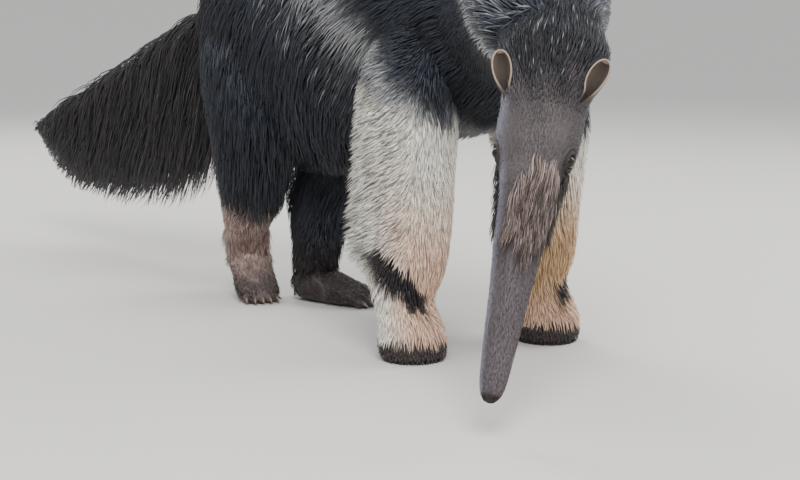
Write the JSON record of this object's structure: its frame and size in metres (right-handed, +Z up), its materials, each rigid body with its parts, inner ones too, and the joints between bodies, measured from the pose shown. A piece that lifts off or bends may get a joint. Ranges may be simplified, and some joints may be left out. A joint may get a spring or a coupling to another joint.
{
  "type": "giant anteater",
  "caption": "Life-size still model of a standing giant anteater, head bent down and to its right, with long hair on back, flanks, legs and tail.",
  "frame": {"origin": "middle of the base of the whole box, on the floor under the animal", "axes": "+Z up, -Y the way the animal faces, +Y towards its tail, +X its left side"},
  "size_m": [0.4658, 1.7646, 0.6259],
  "materials": {
    "dark_hair": "long coarse hair, dull",
    "grizzled_hair": "short hair, salt and pepper",
    "face_hair": "very short grey-brown hair",
    "pale_hair": "cream hair with grey flecks",
    "foot_hair": "short dark hair over rough skin",
    "ear_skin": "thin skin with fine hair and a pale rim",
    "eye": "wet gloss",
    "claw": "worn horn"
  },
  "bodies": {
    "root": {"eye_right": "eye", "eye_left": "eye", "torso": "dark_hair", "neck": "grizzled_hair", "head": "face_hair", "snout": "face_hair", "ear_right": "ear_skin", "ear_left": "ear_skin", "foreleg_right": "pale_hair", "forefoot_right": "foot_hair", "claw_fore_right_1": "claw", "claw_fore_right_2": "claw", "claw_fore_right_3": "claw", "foreleg_left": "pale_hair", "forefoot_left": "foot_hair", "claw_fore_left_1": "claw", "claw_fore_left_2": "claw", "claw_fore_left_3": "claw", "hindleg_right": "dark_hair", "hindshank_right": "dark_hair", "hindfoot_right": "foot_hair", "claw_hind_right_1": "claw", "claw_hind_right_2": "claw", "claw_hind_right_3": "claw", "claw_hind_right_4": "claw", "claw_hind_right_5": "claw", "hindleg_left": "dark_hair", "hindshank_left": "dark_hair", "hindfoot_left": "foot_hair", "claw_hind_left_1": "claw", "claw_hind_left_2": "claw", "claw_hind_left_3": "claw", "claw_hind_left_4": "claw", "claw_hind_left_5": "claw", "tail_root": "dark_hair", "tail_middle": "dark_hair", "tail_tip": "dark_hair"}
  },
  "joints": []
}
